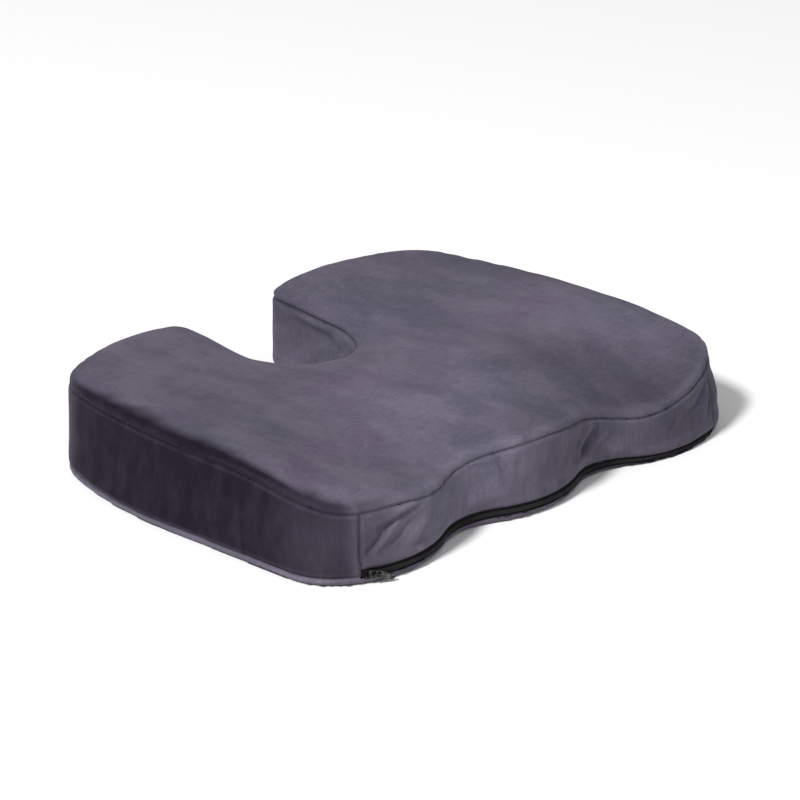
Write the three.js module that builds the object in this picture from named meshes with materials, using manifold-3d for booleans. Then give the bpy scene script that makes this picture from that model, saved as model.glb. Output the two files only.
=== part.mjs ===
// A contoured seat cushion with a U-shaped tail-bone cut-out: a moulded foam core in a sewn velour cover
// that comes off through a zip along its scalloped front edge.
// Millimetres, +Z up. +X is to the right, the scalloped front faces -Y and the cut-out opens to +Y.
// The origin is the middle of the footprint, on the surface that the cushion stands on.
import * as THREE from "three";
import { mergeVertices } from "three/addons/utils/BufferGeometryUtils.js";
import Module from "manifold-3d";

const wasm = await Module();
wasm.setup();

// ---- Plan of the cushion ----
const width = 450;
const depth = 355;
const frontCornerRadius = 48;
const sideBendStart = 137.5; // from the front, where each straight side starts to curve inwards
const sideRadius = 683;
const backCornerRadius = 62;
const backRadius = 170; // the long curve behind each half of the seat
const backLobeInset = 128; // from each side to the rearmost point of its half

// ---- Tail-bone cut-out ----
const notchWidth = 98;
const notchLength = 132;
const notchMouthRadius = 14;

// ---- Scalloped front: a middle ridge, two hollows and two thigh lobes ----
const lobeInset = 75; // from each side to the middle of its thigh lobe
const lobeRadius = 98;
const hollowRadius = 62;
const ridgeRadius = 100;
const ridgeSetback = 2; // the ridge stops this far short of the lobes

// ---- Heights of the seat's top surface ----
const backHeight = 74; // along the side edges
const frontHeight = 70;
const fall = { start: 117.5, end: 12.5 }; // from the front, where the fall to the front height lies
const dish = 4; // how far the middle lies below the side edges
const tailDip = { depth: 18, fromNotch: 12.5, spread: 40 };
const thighDip = { depth: 14, fromLobe: 25, spread: 55, start: 147.5, end: 2.5 };
const rimRadius = 6; // the rolled edge round the top
const rimAngles = [0, 38, 76]; // degrees round it at which it is drawn
const foamBevel = 4; // along the foam's lower edge

// ---- Cover ----
const fabric = 1.5;
const clearance = 0.3; // between pieces that touch
const topSkirt = 8; // how far the top panel turns down over the edge
const bottomSeam = 7; // height of the seam between the bands and the bottom panel
const bottomTuck = 2.5; // how far the bottom panel's flat underside lies inside the outline
const bottomTurn = 3; // height of its rounded lower edge
const turnMiddle = { tuck: 0.3, height: 0.4 }; // shares of the two, halfway round that edge
const frontSeamInset = 31; // from each side to the upright seam at that end of the zip

// ---- Zip ----
const tapeCover = 0.2; // how much of the lower tape the bottom panel covers
const tapeThickness = 0.5;
const tapeWidth = 10;
const coilWidth = 1.85; // of each half
const tapeEndSetback = 1.5; // from the upright seam to the tape's end
const stopLength = 1.6;
const endStopLength = 2.6;

// ---- Zip slider and its pull ----
const sliderInset = 9.7; // from the upright seam to the slider's middle, along X
const sliderLength = 11;
const edgeGap = 0.4; // between the slider and the two fabric edges
const nose = { taper: 0.6, length: 2, bevel: 1.2 };
const frontPlate = 0.9;
const backPlate = 0.7;
const railWidth = 0.8;
const railGap = 0.55; // between each rail and the chain
const runningGap = 0.45; // between the curved tape and the flat back plate
const wedgeLength = 3;
const wedgeWidth = 1.8;
const wedgeShoulder = 0.6; // the share of its length before it tapers
const wedgeInset = 0.4; // from the slider's open end
const archLength = 5.6;
const archWidth = 1.4;
const archFoot = 0.8;
const archThickness = 0.9;
const pullDroop = 20; // degrees below the chain's line
const pullLength = 16;
const pullTipWidth = 4.4;
const pullTipBevel = 1.5;
const pullThickness = 1;
const pullBar = 1; // width of the cross bar under the arch
const barGap = { below: 0.4, above: 0.5 }; // from the cross bar to the front plate and to the arch
const eyeGap = { side: 1.25, end: 1 }; // from the arch to the pull's eye
const eyeRim = 0.75;
const pullHole = { radius: 1.1, fromTip: 3 };

// ---- Fineness of the curves ----
const widestTurn = THREE.MathUtils.degToRad(16);
const flatness = 0.45; // how far a straight step may lie off its arc
const runnerFlatness = 0.08; // the same on the lobes, where the slider runs
const surfaceCell = 27;

const front = -depth / 2;
const back = depth / 2;
const notchHalf = notchWidth / 2;
const sealedHeight = 2 * backHeight; // above everything
const below = -20;
const margin = 20; // by which a cutting shape reaches past what it cuts

const lobeOffset = width / 2 - lobeInset;
const frontSeam = width / 2 - frontSeamInset; // X of the upright seams

// ---------------------------------------------------------------- outline

// The meeting point of two circles, on the left of the line from a to b when side is 1, on the right when -1.
function circlesMeet(a, radiusA, b, radiusB, side) {
  const gap = a.distanceTo(b);
  const along = (radiusA ** 2 - radiusB ** 2 + gap ** 2) / (2 * gap);
  const across = Math.sqrt(radiusA ** 2 - along ** 2) * side;
  const u = b.clone().sub(a).divideScalar(gap);
  return new THREE.Vector2(a.x + u.x * along - u.y * across, a.y + u.y * along + u.x * across);
}

const point = (x, y) => new THREE.Vector2(x, y);
const heading = (from, to) => Math.atan2(to.y - from.y, to.x - from.x);

const ridge = point(0, front + ridgeSetback + ridgeRadius);
const lobe = point(lobeOffset, front + lobeRadius);
const hollow = circlesMeet(ridge, ridgeRadius + hollowRadius, lobe, lobeRadius + hollowRadius, -1);
const cornerX = width / 2 - frontCornerRadius;
const frontCorner = point(
  cornerX,
  lobe.y - Math.sqrt((lobeRadius - frontCornerRadius) ** 2 - (cornerX - lobe.x) ** 2),
);
const side = point(width / 2 - sideRadius, front + sideBendStart);
const backArc = point(width / 2 - backLobeInset, back - backRadius);
const backCorner = circlesMeet(
  side,
  sideRadius - backCornerRadius,
  backArc,
  backRadius - backCornerRadius,
  1,
);
const mouthX = notchHalf + notchMouthRadius;
const mouth = point(
  mouthX,
  backArc.y + Math.sqrt((backRadius - notchMouthRadius) ** 2 - (mouthX - backArc.x) ** 2),
);
const notch = point(0, back - notchLength + notchHalf);

// An arc of the outline. A hollow arc curves round a centre outside the cushion.
const arc = (centre, radius, from, to, isHollow = false) => ({ centre, radius, from, to, isHollow });

// The right half, from the middle of the front, round the side and the back, to the bottom of the U.
// Straight stretches join one arc's end to the next arc's start.
const rightHalf = [
  arc(ridge, ridgeRadius, -Math.PI / 2, heading(ridge, hollow)),
  arc(hollow, hollowRadius, heading(hollow, ridge), heading(hollow, lobe), true),
  arc(lobe, lobeRadius, heading(hollow, lobe) - Math.PI, heading(lobe, frontCorner)),
  arc(frontCorner, frontCornerRadius, heading(lobe, frontCorner), 0),
  arc(side, sideRadius, 0, heading(side, backCorner)),
  arc(backCorner, backCornerRadius, heading(side, backCorner), heading(backArc, backCorner)),
  arc(backArc, backRadius, heading(backArc, backCorner), heading(backArc, mouth)),
  arc(mouth, notchMouthRadius, heading(backArc, mouth), Math.PI),
  arc(notch, notchHalf, 0, -Math.PI / 2, true),
];

// The closed outline, anticlockwise, moved inwards by inset. Every inset has the same number of points.
function outline(inset) {
  const half = [];
  for (const { centre, radius, from, to, isHollow } of rightHalf) {
    const off = centre === lobe ? runnerFlatness : flatness;
    const stepTurn = Math.min(widestTurn, 2 * Math.acos(1 - off / radius));
    const steps = Math.ceil(Math.abs(to - from) / stepTurn);
    const drawn = radius + (isHollow ? inset : -inset);
    for (let i = 0; i <= steps; i++) {
      const angle = from + ((to - from) * i) / steps;
      const p = point(centre.x + drawn * Math.cos(angle), centre.y + drawn * Math.sin(angle));
      const last = half[half.length - 1];
      if (!last || last.distanceTo(p) > 0.01) half.push(p);
    }
  }
  const left = half.slice(1, -1).reverse();
  return half.concat(left.map((p) => point(-p.x, p.y)));
}

// ---------------------------------------------------------------- top surface

const bell = (distance, spread) => Math.exp(-(distance ** 2) / (2 * spread ** 2));

// From 0 at the start to 1 at the end, both measured back from the front.
const fadeForward = (y, { start, end }) => THREE.MathUtils.smoothstep(-y, -front - start, -front - end);

function seatHeight(x, y) {
  const fallen = (backHeight - frontHeight) * fadeForward(y, fall);
  const hollowed = dish * Math.max(0, 1 - (x / (width / 2)) ** 2);
  const tail = tailDip.depth * bell(Math.hypot(x, y - notch.y + tailDip.fromNotch), tailDip.spread);
  const fromThigh = Math.abs(x) - lobeOffset + thighDip.fromLobe;
  const thigh = thighDip.depth * bell(fromThigh, thighDip.spread) * fadeForward(y, thighDip);
  return backHeight - fallen - hollowed - tail - thigh;
}

// ---------------------------------------------------------------- solids

function solidOf(geometry) {
  const bare = geometry.clone();
  bare.deleteAttribute("normal");
  bare.deleteAttribute("uv");
  const merged = mergeVertices(bare, 1e-4);
  return new wasm.Manifold(
    new wasm.Mesh({
      numProp: 3,
      vertProperties: merged.attributes.position.array,
      triVerts: new Uint32Array(merged.index.array),
    }),
  );
}

function geometryOf(solid) {
  const mesh = solid.getMesh();
  return new THREE.BufferGeometry()
    .setAttribute("position", new THREE.BufferAttribute(mesh.vertProperties, 3))
    .setIndex(new THREE.BufferAttribute(mesh.triVerts, 1));
}

// A closed solid through rings of equally many points, from the bottom ring to the top one.
function loft(rings) {
  const count = rings[0].length;
  const positions = rings.flat().flatMap((p) => [p.x, p.y, p.z]);
  const faces = [];
  for (let k = 0; k + 1 < rings.length; k++) {
    for (let i = 0; i < count; i++) {
      const a = k * count + i;
      const b = k * count + ((i + 1) % count);
      faces.push(a, b, b + count, a, b + count, a + count);
    }
  }
  const top = (rings.length - 1) * count;
  for (const [a, b, c] of THREE.ShapeUtils.triangulateShape(rings[0], [])) faces.push(a, c, b);
  for (const [a, b, c] of THREE.ShapeUtils.triangulateShape(rings[rings.length - 1], [])) {
    faces.push(top + a, top + b, top + c);
  }
  const geometry = new THREE.BufferGeometry()
    .setAttribute("position", new THREE.Float32BufferAttribute(positions, 3))
    .setIndex(faces);
  return solidOf(geometry);
}

// A ring of the outline at an inset, each point at the height that the function gives there.
const ring = (inset, height) =>
  outline(inset).map((p) => new THREE.Vector3(p.x, p.y, height(p.x, p.y)));

const box = (low, high, matrix = new THREE.Matrix4()) => {
  const size = new THREE.Vector3(...high).sub(new THREE.Vector3(...low));
  const geometry = new THREE.BoxGeometry(size.x, size.y, size.z);
  geometry.translate(low[0] + size.x / 2, low[1] + size.y / 2, low[2] + size.z / 2);
  return solidOf(geometry.applyMatrix4(matrix));
};

// Everything under the seat's top surface, moved by offset.
function underSurface(offset) {
  const across = width + 2 * margin;
  const along = depth + 2 * margin;
  const geometry = new THREE.BoxGeometry(
    across,
    along,
    2,
    Math.round(across / surfaceCell),
    Math.round(along / surfaceCell),
    1,
  );
  const place = geometry.attributes.position;
  for (let i = 0; i < place.count; i++) {
    const height = seatHeight(place.getX(i), place.getY(i)) + offset;
    place.setZ(i, place.getZ(i) > 0 ? height : below);
  }
  return solidOf(geometry);
}

// A body with the rolled top edge: its sides lie inset inside the outline, its top lies lowered under the
// seat's surface, and the rings given first are its lower edge.
function rolledForm(lowerRings, inset, lowered) {
  const radius = rimRadius - lowered;
  const rim = rimAngles.map((degrees) => {
    const angle = THREE.MathUtils.degToRad(degrees);
    const drop = lowered + radius * (1 - Math.sin(angle));
    return ring(inset + radius * (1 - Math.cos(angle)), (x, y) => seatHeight(x, y) - drop);
  });
  const lastAngle = THREE.MathUtils.degToRad(rimAngles[rimAngles.length - 1]);
  const lid = ring(inset + radius * (1 - Math.cos(lastAngle)), () => sealedHeight);
  return loft([...lowerRings, ...rim, lid]).intersect(underSurface(-lowered));
}

// An upright wall that follows the outline between two insets and two heights.
const wall = (outer, inner, low, high) =>
  loft([ring(outer, () => low), ring(outer, () => high)]).subtract(
    loft([ring(inner, () => low - 1), ring(inner, () => high + 1)]),
  );

// ---------------------------------------------------------------- materials

const velour = new THREE.Color().setRGB(0.36, 0.335, 0.385, THREE.SRGBColorSpace);
const finish = (colour, roughness, metalness = 0) =>
  new THREE.MeshStandardMaterial({ color: colour, roughness, metalness });

const group = new THREE.Group();

function add(name, solid, material, parent = group) {
  const mesh = new THREE.Mesh(geometryOf(solid), material);
  mesh.name = name;
  parent.add(mesh);
  return mesh;
}

// ---------------------------------------------------------------- foam core

// The slider's back plate runs between the zip tape and the foam, so the foam stops short of the cover.
const tapeInset = fabric + clearance;
const backPlateInset = tapeInset + tapeThickness + runningGap;
const foamInset = backPlateInset + backPlate + clearance;
const foamTopGap = fabric + clearance;

const foamBase = fabric + clearance;

const foamLowerEdge = [
  ring(foamInset + foamBevel, () => foamBase),
  ring(foamInset, () => foamBase + foamBevel),
];
add("foam_core", rolledForm(foamLowerEdge, foamInset, foamTopGap), finish("#e9e2cf", 0.95));

// ---------------------------------------------------------------- cover

const coverForm = (inset) => rolledForm([ring(inset, () => below)], inset, inset);
const shell = coverForm(0).subtract(coverForm(fabric));
const aboveTopSeam = underSurface(-topSkirt);
const belowTopSeam = underSurface(-topSkirt - clearance);

add("top_panel", shell.subtract(aboveTopSeam), finish(velour, 0.9));

const reach = width;
const seamGap = clearance / 2;
const frontLimit = front + lobeRadius; // everything between the upright seams lies in front of this
const sliderHalf = coilWidth + railGap + railWidth;
const zipOpening = 2 * (sliderHalf + edgeGap); // between the two fabric edges
const lowerTapeEdge = bottomTurn + fabric + clearance; // folded in above the panel's rounded edge
const zipBottom = lowerTapeEdge + tapeCover;
const zipTop = zipBottom + zipOpening;
const zipHeight = zipBottom + zipOpening / 2; // of the chain's middle
const bandShell = shell.intersect(belowTopSeam);
const frontZone = (grow, low, high) =>
  box([-frontSeam - grow, front - 1, low], [frontSeam + grow, frontLimit, high]);

add("front_band", bandShell.intersect(frontZone(-seamGap, zipTop, sealedHeight)), finish(velour, 0.9));

const sideBands = bandShell
  .subtract(frontZone(seamGap, below - 1, sealedHeight))
  .intersect(box([-reach, -reach, bottomSeam + clearance], [reach, reach, sealedHeight]));
for (const [name, low, high] of [
  ["side_band_left", -reach, -seamGap],
  ["side_band_right", seamGap, reach],
]) {
  const half = box([low, -reach, below - 1], [high, reach, sealedHeight]);
  add(name, sideBands.intersect(half), finish(velour, 0.9));
}

// The bottom panel: a flat underside whose edge turns up to meet the bands, and the zip at the front.
function bottomPanel() {
  const turned = (grow, lift) => [
    ring(bottomTuck + grow, () => lift),
    ring(bottomTuck * turnMiddle.tuck + grow, () => bottomTurn * turnMiddle.height + lift),
    ring(grow, () => bottomTurn + lift),
  ];
  const outside = loft([...turned(0, 0), ring(0, () => bottomSeam)]);
  const inside = loft([...turned(fabric, fabric), ring(fabric, () => sealedHeight)]);
  const zipRelief = frontZone(0, zipBottom, sealedHeight);
  return outside.subtract(inside).subtract(zipRelief);
}
add("bottom_panel", bottomPanel(), finish("#4a4650", 0.95));

// ---------------------------------------------------------------- zip

// Solids of the slider are drawn with X outwards from the lobe's middle, Y along the chain, Z up.
const sliderTurn = -Math.acos((lobe.x - frontSeam + sliderInset) / lobeRadius);
const sliderFrame = new THREE.Matrix4()
  .makeTranslation(-lobe.x, lobe.y, zipHeight)
  .multiply(new THREE.Matrix4().makeRotationZ(sliderTurn));

const wedgeStart = -sliderLength / 2 + wedgeInset;
const chainStart = wedgeStart + wedgeLength + clearance;
const farAway = 2 * lobeRadius;
const partedHalf = wedgeWidth / 2 + clearance;
const tapeEnd = frontSeam - tapeEndSetback;

// Where the chain is open, beyond the slider's wedge, the two tapes stand apart.
const openPart = box(
  [lobeRadius - margin, -farAway, -partedHalf],
  [lobeRadius + margin, chainStart, partedHalf],
  sliderFrame,
);
const leftOfChain = box([0, -farAway, -margin], [farAway, chainStart, margin], sliderFrame);

function zipStrip(outerInset, thickness, low, high, end) {
  const strip = wall(outerInset, outerInset + thickness, low, high);
  return strip.intersect(box([-tapeEnd, front - 1, low - 1], [end, frontLimit, high + 1]));
}

const seamHalf = clearance / 2;
const upperTape = zipStrip(
  tapeInset,
  tapeThickness,
  zipHeight + seamHalf,
  zipHeight + tapeWidth,
  tapeEnd,
);
const lowerTape = zipStrip(tapeInset, tapeThickness, lowerTapeEdge, zipHeight - seamHalf, tapeEnd);
const black = finish("#111113", 0.8);
add("zip_tape_upper", upperTape.subtract(openPart), black);
add("zip_tape_lower", lowerTape.subtract(openPart), black);

const coilThickness = tapeInset - clearance; // the coil lies on the tape, level with the cloth outside
const endStopX = tapeEnd - stopLength;
const coilEnd = endStopX - endStopLength - clearance;
for (const [name, low, high] of [
  ["zip_coil_upper", seamHalf, coilWidth],
  ["zip_coil_lower", -coilWidth, -seamHalf],
]) {
  const coil = zipStrip(0, coilThickness, zipHeight + low, zipHeight + high, coilEnd);
  add(name, coil.subtract(leftOfChain), finish("#1c1c1f", 0.45));
}

// Stops: one on each tape at the slider's end of the zip, and one across both at the far end.
const metal = finish("#3a3a3d", 0.4, 1);
const stopStart = -sliderLength / 2 - clearance - stopLength;
for (const [name, low, high] of [
  ["top_stop_upper", partedHalf + clearance, coilWidth + partedHalf],
  ["top_stop_lower", -coilWidth - partedHalf, -partedHalf - clearance],
]) {
  const stop = box(
    [lobeRadius - coilThickness, stopStart, low],
    [lobeRadius, stopStart + stopLength, high],
    sliderFrame,
  );
  add(name, stop, metal);
}
const endStop = wall(0, coilThickness, zipHeight - coilWidth, zipHeight + coilWidth).intersect(
  box([endStopX - endStopLength, front - 1, 0], [endStopX, frontLimit, zipTop + 1]),
);
add("end_stop", endStop, metal);

// ---------------------------------------------------------------- slider and pull

const plateFace = lobeRadius + clearance; // the front plate's inner face
const plateOuter = plateFace + frontPlate;

// A flat outline drawn as [along, across] pairs and thickened outwards from x = low to x = high.
function plate(corners, low, high, holes = []) {
  const shape = new THREE.Shape(corners.map(([along, across]) => point(along, across)));
  shape.holes.push(...holes);
  const geometry = new THREE.ExtrudeGeometry(shape, {
    depth: high - low,
    bevelEnabled: false,
    curveSegments: 6,
  });
  const axes = new THREE.Matrix4().makeBasis(
    new THREE.Vector3(0, 1, 0),
    new THREE.Vector3(0, 0, 1),
    new THREE.Vector3(1, 0, 0),
  );
  return solidOf(geometry.applyMatrix4(axes).translate(low, 0, 0));
}

const noseHalf = sliderHalf - nose.taper;
const sliderShield = [
  [-sliderLength / 2, -sliderHalf],
  [sliderLength / 2 - nose.length, -noseHalf],
  [sliderLength / 2, -noseHalf + nose.bevel],
  [sliderLength / 2, noseHalf - nose.bevel],
  [sliderLength / 2 - nose.length, noseHalf],
  [-sliderLength / 2, sliderHalf],
];
const pullLift = barGap.below + pullThickness / 2; // from the front plate to the cross bar's middle
const archWindow = pullLift + pullThickness / 2 + barGap.above;

function sliderBody() {
  const frontSheet = plate(sliderShield, plateFace, plateOuter);
  const backInner = lobeRadius - backPlateInset - backPlate;
  const backSheet = plate(sliderShield, backInner, backInner + backPlate);
  const wedge = plate(
    [
      [wedgeStart, -wedgeWidth / 2],
      [wedgeStart + wedgeLength * wedgeShoulder, -wedgeWidth / 2],
      [wedgeStart + wedgeLength, 0],
      [wedgeStart + wedgeLength * wedgeShoulder, wedgeWidth / 2],
      [wedgeStart, wedgeWidth / 2],
    ],
    backInner + backPlate / 2,
    plateFace + frontPlate / 2,
  );
  const rails = [-sliderHalf, sliderHalf - railWidth].map((low) =>
    box(
      [plateFace - coilThickness, -sliderLength / 2, low],
      [plateFace + frontPlate / 2, sliderLength / 2, low + railWidth],
    ),
  );
  const shieldColumn = plate(sliderShield, backInner, plateOuter);
  const arch = box(
    [plateOuter - frontPlate / 2, -archLength / 2, -archWidth / 2],
    [plateOuter + archWindow + archThickness, archLength / 2, archWidth / 2],
  ).subtract(
    box(
      [plateOuter, -archLength / 2 + archFoot, -archWidth],
      [plateOuter + archWindow, archLength / 2 - archFoot, archWidth],
    ),
  );
  return [backSheet, wedge, ...rails.map((rail) => rail.intersect(shieldColumn)), arch].reduce(
    (whole, piece) => whole.add(piece),
    frontSheet,
  );
}

const slider = new THREE.Group();
slider.applyMatrix4(sliderFrame);
group.add(slider);
add("slider_body", sliderBody(), metal, slider);

// The pull is drawn from its cross bar, lying flat along the chain.
function pullTab() {
  const bar = pullBar / 2;
  const eyeHalf = archWidth / 2 + eyeGap.side;
  const eyeEnd = archLength / 2 + eyeGap.end;
  const half = eyeHalf + eyeRim;
  const tip = pullTipWidth / 2;
  const eye = new THREE.Path([
    point(bar, -eyeHalf),
    point(bar, eyeHalf),
    point(eyeEnd, eyeHalf),
    point(eyeEnd, -eyeHalf),
  ]);
  const hole = new THREE.Path().absarc(
    pullLength - pullHole.fromTip,
    0,
    pullHole.radius,
    0,
    2 * Math.PI,
    true,
  );
  const corners = [
    [-bar, -half],
    [eyeEnd, -half],
    [pullLength - pullTipBevel, -tip],
    [pullLength, -tip + pullTipBevel],
    [pullLength, tip - pullTipBevel],
    [pullLength - pullTipBevel, tip],
    [eyeEnd, half],
    [-bar, half],
  ];
  return plate(corners, -pullThickness / 2, pullThickness / 2, [eye, hole]);
}

const pull = new THREE.Group();
pull.position.set(plateOuter + pullLift, 0, 0);
pull.rotation.x = THREE.MathUtils.degToRad(-pullDroop);
slider.add(pull);
add("pull_tab", pullTab(), metal, pull);

export default group;
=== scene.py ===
import bpy
import math
import numpy as np
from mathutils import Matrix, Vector, noise
from mathutils.kdtree import KDTree


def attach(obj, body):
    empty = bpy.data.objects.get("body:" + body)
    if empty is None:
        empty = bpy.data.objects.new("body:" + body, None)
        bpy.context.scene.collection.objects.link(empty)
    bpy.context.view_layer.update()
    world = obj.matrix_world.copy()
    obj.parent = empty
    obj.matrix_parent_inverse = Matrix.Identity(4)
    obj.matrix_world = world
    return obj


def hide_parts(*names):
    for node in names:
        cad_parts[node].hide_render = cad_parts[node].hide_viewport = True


# A contoured seat cushion: foam core, zip-off velour cover, coil zip along the scalloped front.
# Metres, +Z up. The scalloped front faces -Y and the tail-bone cut-out opens to +Y.

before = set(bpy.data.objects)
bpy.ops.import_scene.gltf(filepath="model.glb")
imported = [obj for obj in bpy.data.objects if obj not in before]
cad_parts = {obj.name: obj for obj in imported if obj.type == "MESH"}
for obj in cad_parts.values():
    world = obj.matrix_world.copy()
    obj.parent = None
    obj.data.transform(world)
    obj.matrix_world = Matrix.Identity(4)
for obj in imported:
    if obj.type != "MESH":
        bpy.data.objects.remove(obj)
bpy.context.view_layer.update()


# camera

cameraSetup = {
    "azimuth": -46.6,
    "elevation": 22.3,
    "distance": 3.369,
    "lens": 197.2,
    "height": 0.035,      # the point aimed at, above the middle of the footprint
    "right": 0.0157,      # and moved across the view
    "up": 0.0041,
}


def makeCamera():
    c = cameraSetup
    turn = math.radians(c["azimuth"])
    lift = math.radians(c["elevation"])
    away = Vector((math.sin(turn) * math.cos(lift), -math.cos(turn) * math.cos(lift), math.sin(lift)))
    right = Vector((math.cos(turn), math.sin(turn), 0))
    up = away.cross(right)
    aim = Vector((0, 0, c["height"])) + right * c["right"] + up * c["up"]
    bpy.ops.object.camera_add(location=aim + away * c["distance"])
    camera = bpy.context.object
    camera.name = "camera"
    camera.rotation_euler = (-away).to_track_quat("-Z", "Y").to_euler()
    camera.data.lens = c["lens"]
    camera.data.sensor_width = 36
    camera.data.clip_end = 50
    bpy.context.scene.camera = camera


makeCamera()


# outline of the cushion

plan = {
    "width": 0.45,
    "depth": 0.355,
    "frontCorner": 0.048,
    "bendStart": -0.04,
    "sideRadius": 0.683,
    "backCorner": 0.062,
    "backRadius": 0.17,
    "backLobe": 0.097,
    "notchWidth": 0.098,
    "notchLength": 0.132,
    "notchMouth": 0.014,
    "lobe": 0.15,
    "lobeRadius": 0.098,
    "hollowRadius": 0.062,
    "ridgeRadius": 0.1,
    "ridgeSetback": 0.002,
}


def circlesMeet(a, radiusA, b, radiusB, side):
    gap = (b - a).length
    along = (radiusA ** 2 - radiusB ** 2 + gap ** 2) / (2 * gap)
    across = math.sqrt(radiusA ** 2 - along ** 2) * side
    u = (b - a) / gap
    return Vector((a.x + u.x * along - u.y * across, a.y + u.y * along + u.x * across))


def heading(start, end):
    return math.atan2(end.y - start.y, end.x - start.x)


def outlineArcs():
    # centre, radius, start, end, and whether it curves round a centre outside the cushion
    p = plan
    front, back = -p["depth"] / 2, p["depth"] / 2
    notchHalf = p["notchWidth"] / 2
    ridge = Vector((0, front + p["ridgeSetback"] + p["ridgeRadius"]))
    lobe = Vector((p["lobe"], front + p["lobeRadius"]))
    hollow = circlesMeet(ridge, p["ridgeRadius"] + p["hollowRadius"],
                         lobe, p["lobeRadius"] + p["hollowRadius"], -1)
    cornerX = p["width"] / 2 - p["frontCorner"]
    reach = math.sqrt((p["lobeRadius"] - p["frontCorner"]) ** 2 - (cornerX - lobe.x) ** 2)
    corner = Vector((cornerX, lobe.y - reach))
    side = Vector((p["width"] / 2 - p["sideRadius"], p["bendStart"]))
    rear = Vector((p["backLobe"], back - p["backRadius"]))
    rearCorner = circlesMeet(side, p["sideRadius"] - p["backCorner"],
                             rear, p["backRadius"] - p["backCorner"], 1)
    mouthX = notchHalf + p["notchMouth"]
    rise = math.sqrt((p["backRadius"] - p["notchMouth"]) ** 2 - (mouthX - rear.x) ** 2)
    mouth = Vector((mouthX, rear.y + rise))
    notch = Vector((0, back - p["notchLength"] + notchHalf))
    return [
        (ridge, p["ridgeRadius"], -math.pi / 2, heading(ridge, hollow), False),
        (hollow, p["hollowRadius"], heading(hollow, ridge), heading(hollow, lobe), True),
        (lobe, p["lobeRadius"], heading(hollow, lobe) - math.pi, heading(lobe, corner), False),
        (corner, p["frontCorner"], heading(lobe, corner), 0, False),
        (side, p["sideRadius"], 0, heading(side, rearCorner), False),
        (rearCorner, p["backCorner"], heading(side, rearCorner), heading(rear, rearCorner), False),
        (rear, p["backRadius"], heading(rear, rearCorner), heading(rear, mouth), False),
        (mouth, p["notchMouth"], heading(rear, mouth), math.pi, False),
        (notch, notchHalf, 0, -math.pi / 2, True),
    ]


def halfOutline(inset, spacing):
    # the right half, from the middle of the front round to the bottom of the U
    points = []
    for centre, radius, start, end, isHollow in outlineArcs():
        drawn = radius + (inset if isHollow else -inset)
        steps = max(2, math.ceil(abs(end - start) * radius / spacing))
        for i in range(steps + 1):
            angle = start + (end - start) * i / steps
            point = centre + Vector((math.cos(angle), math.sin(angle))) * drawn
            gap = (point - points[-1]).length if points else spacing
            if gap < spacing * 0.2:
                continue
            last = points[-1] if points else point
            between = int(gap / spacing) if points else 0
            points += [last.lerp(point, k / (between + 1)) for k in range(1, between + 1)]
            points.append(point)
    return points


def fullOutline(inset, spacing):
    half = halfOutline(inset, spacing)
    return half + [Vector((-p.x, p.y)) for p in reversed(half[1:-1])]


# heights

seat = {
    "blockHeight": 0.0780,  # the blank is cut at this height and then sunk to the seat's shape
    "frontHeight": 0.0718,
    "fallStart": 0.060,     # distances in front of the middle
    "fallEnd": 0.165,
    "dish": 0.004,
    "tail": {"depth": 0.018, "y": 0.082, "spread": 0.040},
    "thigh": {"depth": 0.014, "x": 0.125, "spread": 0.055, "start": 0.030, "end": 0.175},
    "settled": [            # where this cushion's cover stands higher or lower than the plan
        (-0.150, -0.172, 0.034, 0.0055),
        (-0.010, -0.172, 0.030, 0.0010),
        (0.100, -0.172, 0.036, -0.0100),
        (0.165, -0.172, 0.030, -0.0020),
        (-0.206, -0.166, 0.022, -0.0050),
    ],
}


def smooth(value, start, end):
    t = np.clip((value - start) / (end - start), 0, 1)
    return t * t * (3 - 2 * t)


def bell(distance, spread):
    return np.exp(-(distance ** 2) / (2 * spread ** 2))


def seatHeight(x, y):
    s = seat
    tail, thigh = s["tail"], s["thigh"]
    fall = s["blockHeight"] - s["frontHeight"]
    height = s["blockHeight"] - fall * smooth(-y, s["fallStart"], s["fallEnd"])
    height = height - s["dish"] * np.clip(1 - (x / (plan["width"] / 2)) ** 2, 0, 1)
    height = height - tail["depth"] * bell(np.hypot(x, y - tail["y"]), tail["spread"])
    fade = smooth(-y, thigh["start"], thigh["end"])
    height = height - thigh["depth"] * bell(np.abs(x) - thigh["x"], thigh["spread"]) * fade
    for atX, atY, spread, rise in s["settled"]:
        height = height + rise * bell(np.hypot(x - atX, y - atY), spread)
    return height


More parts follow.
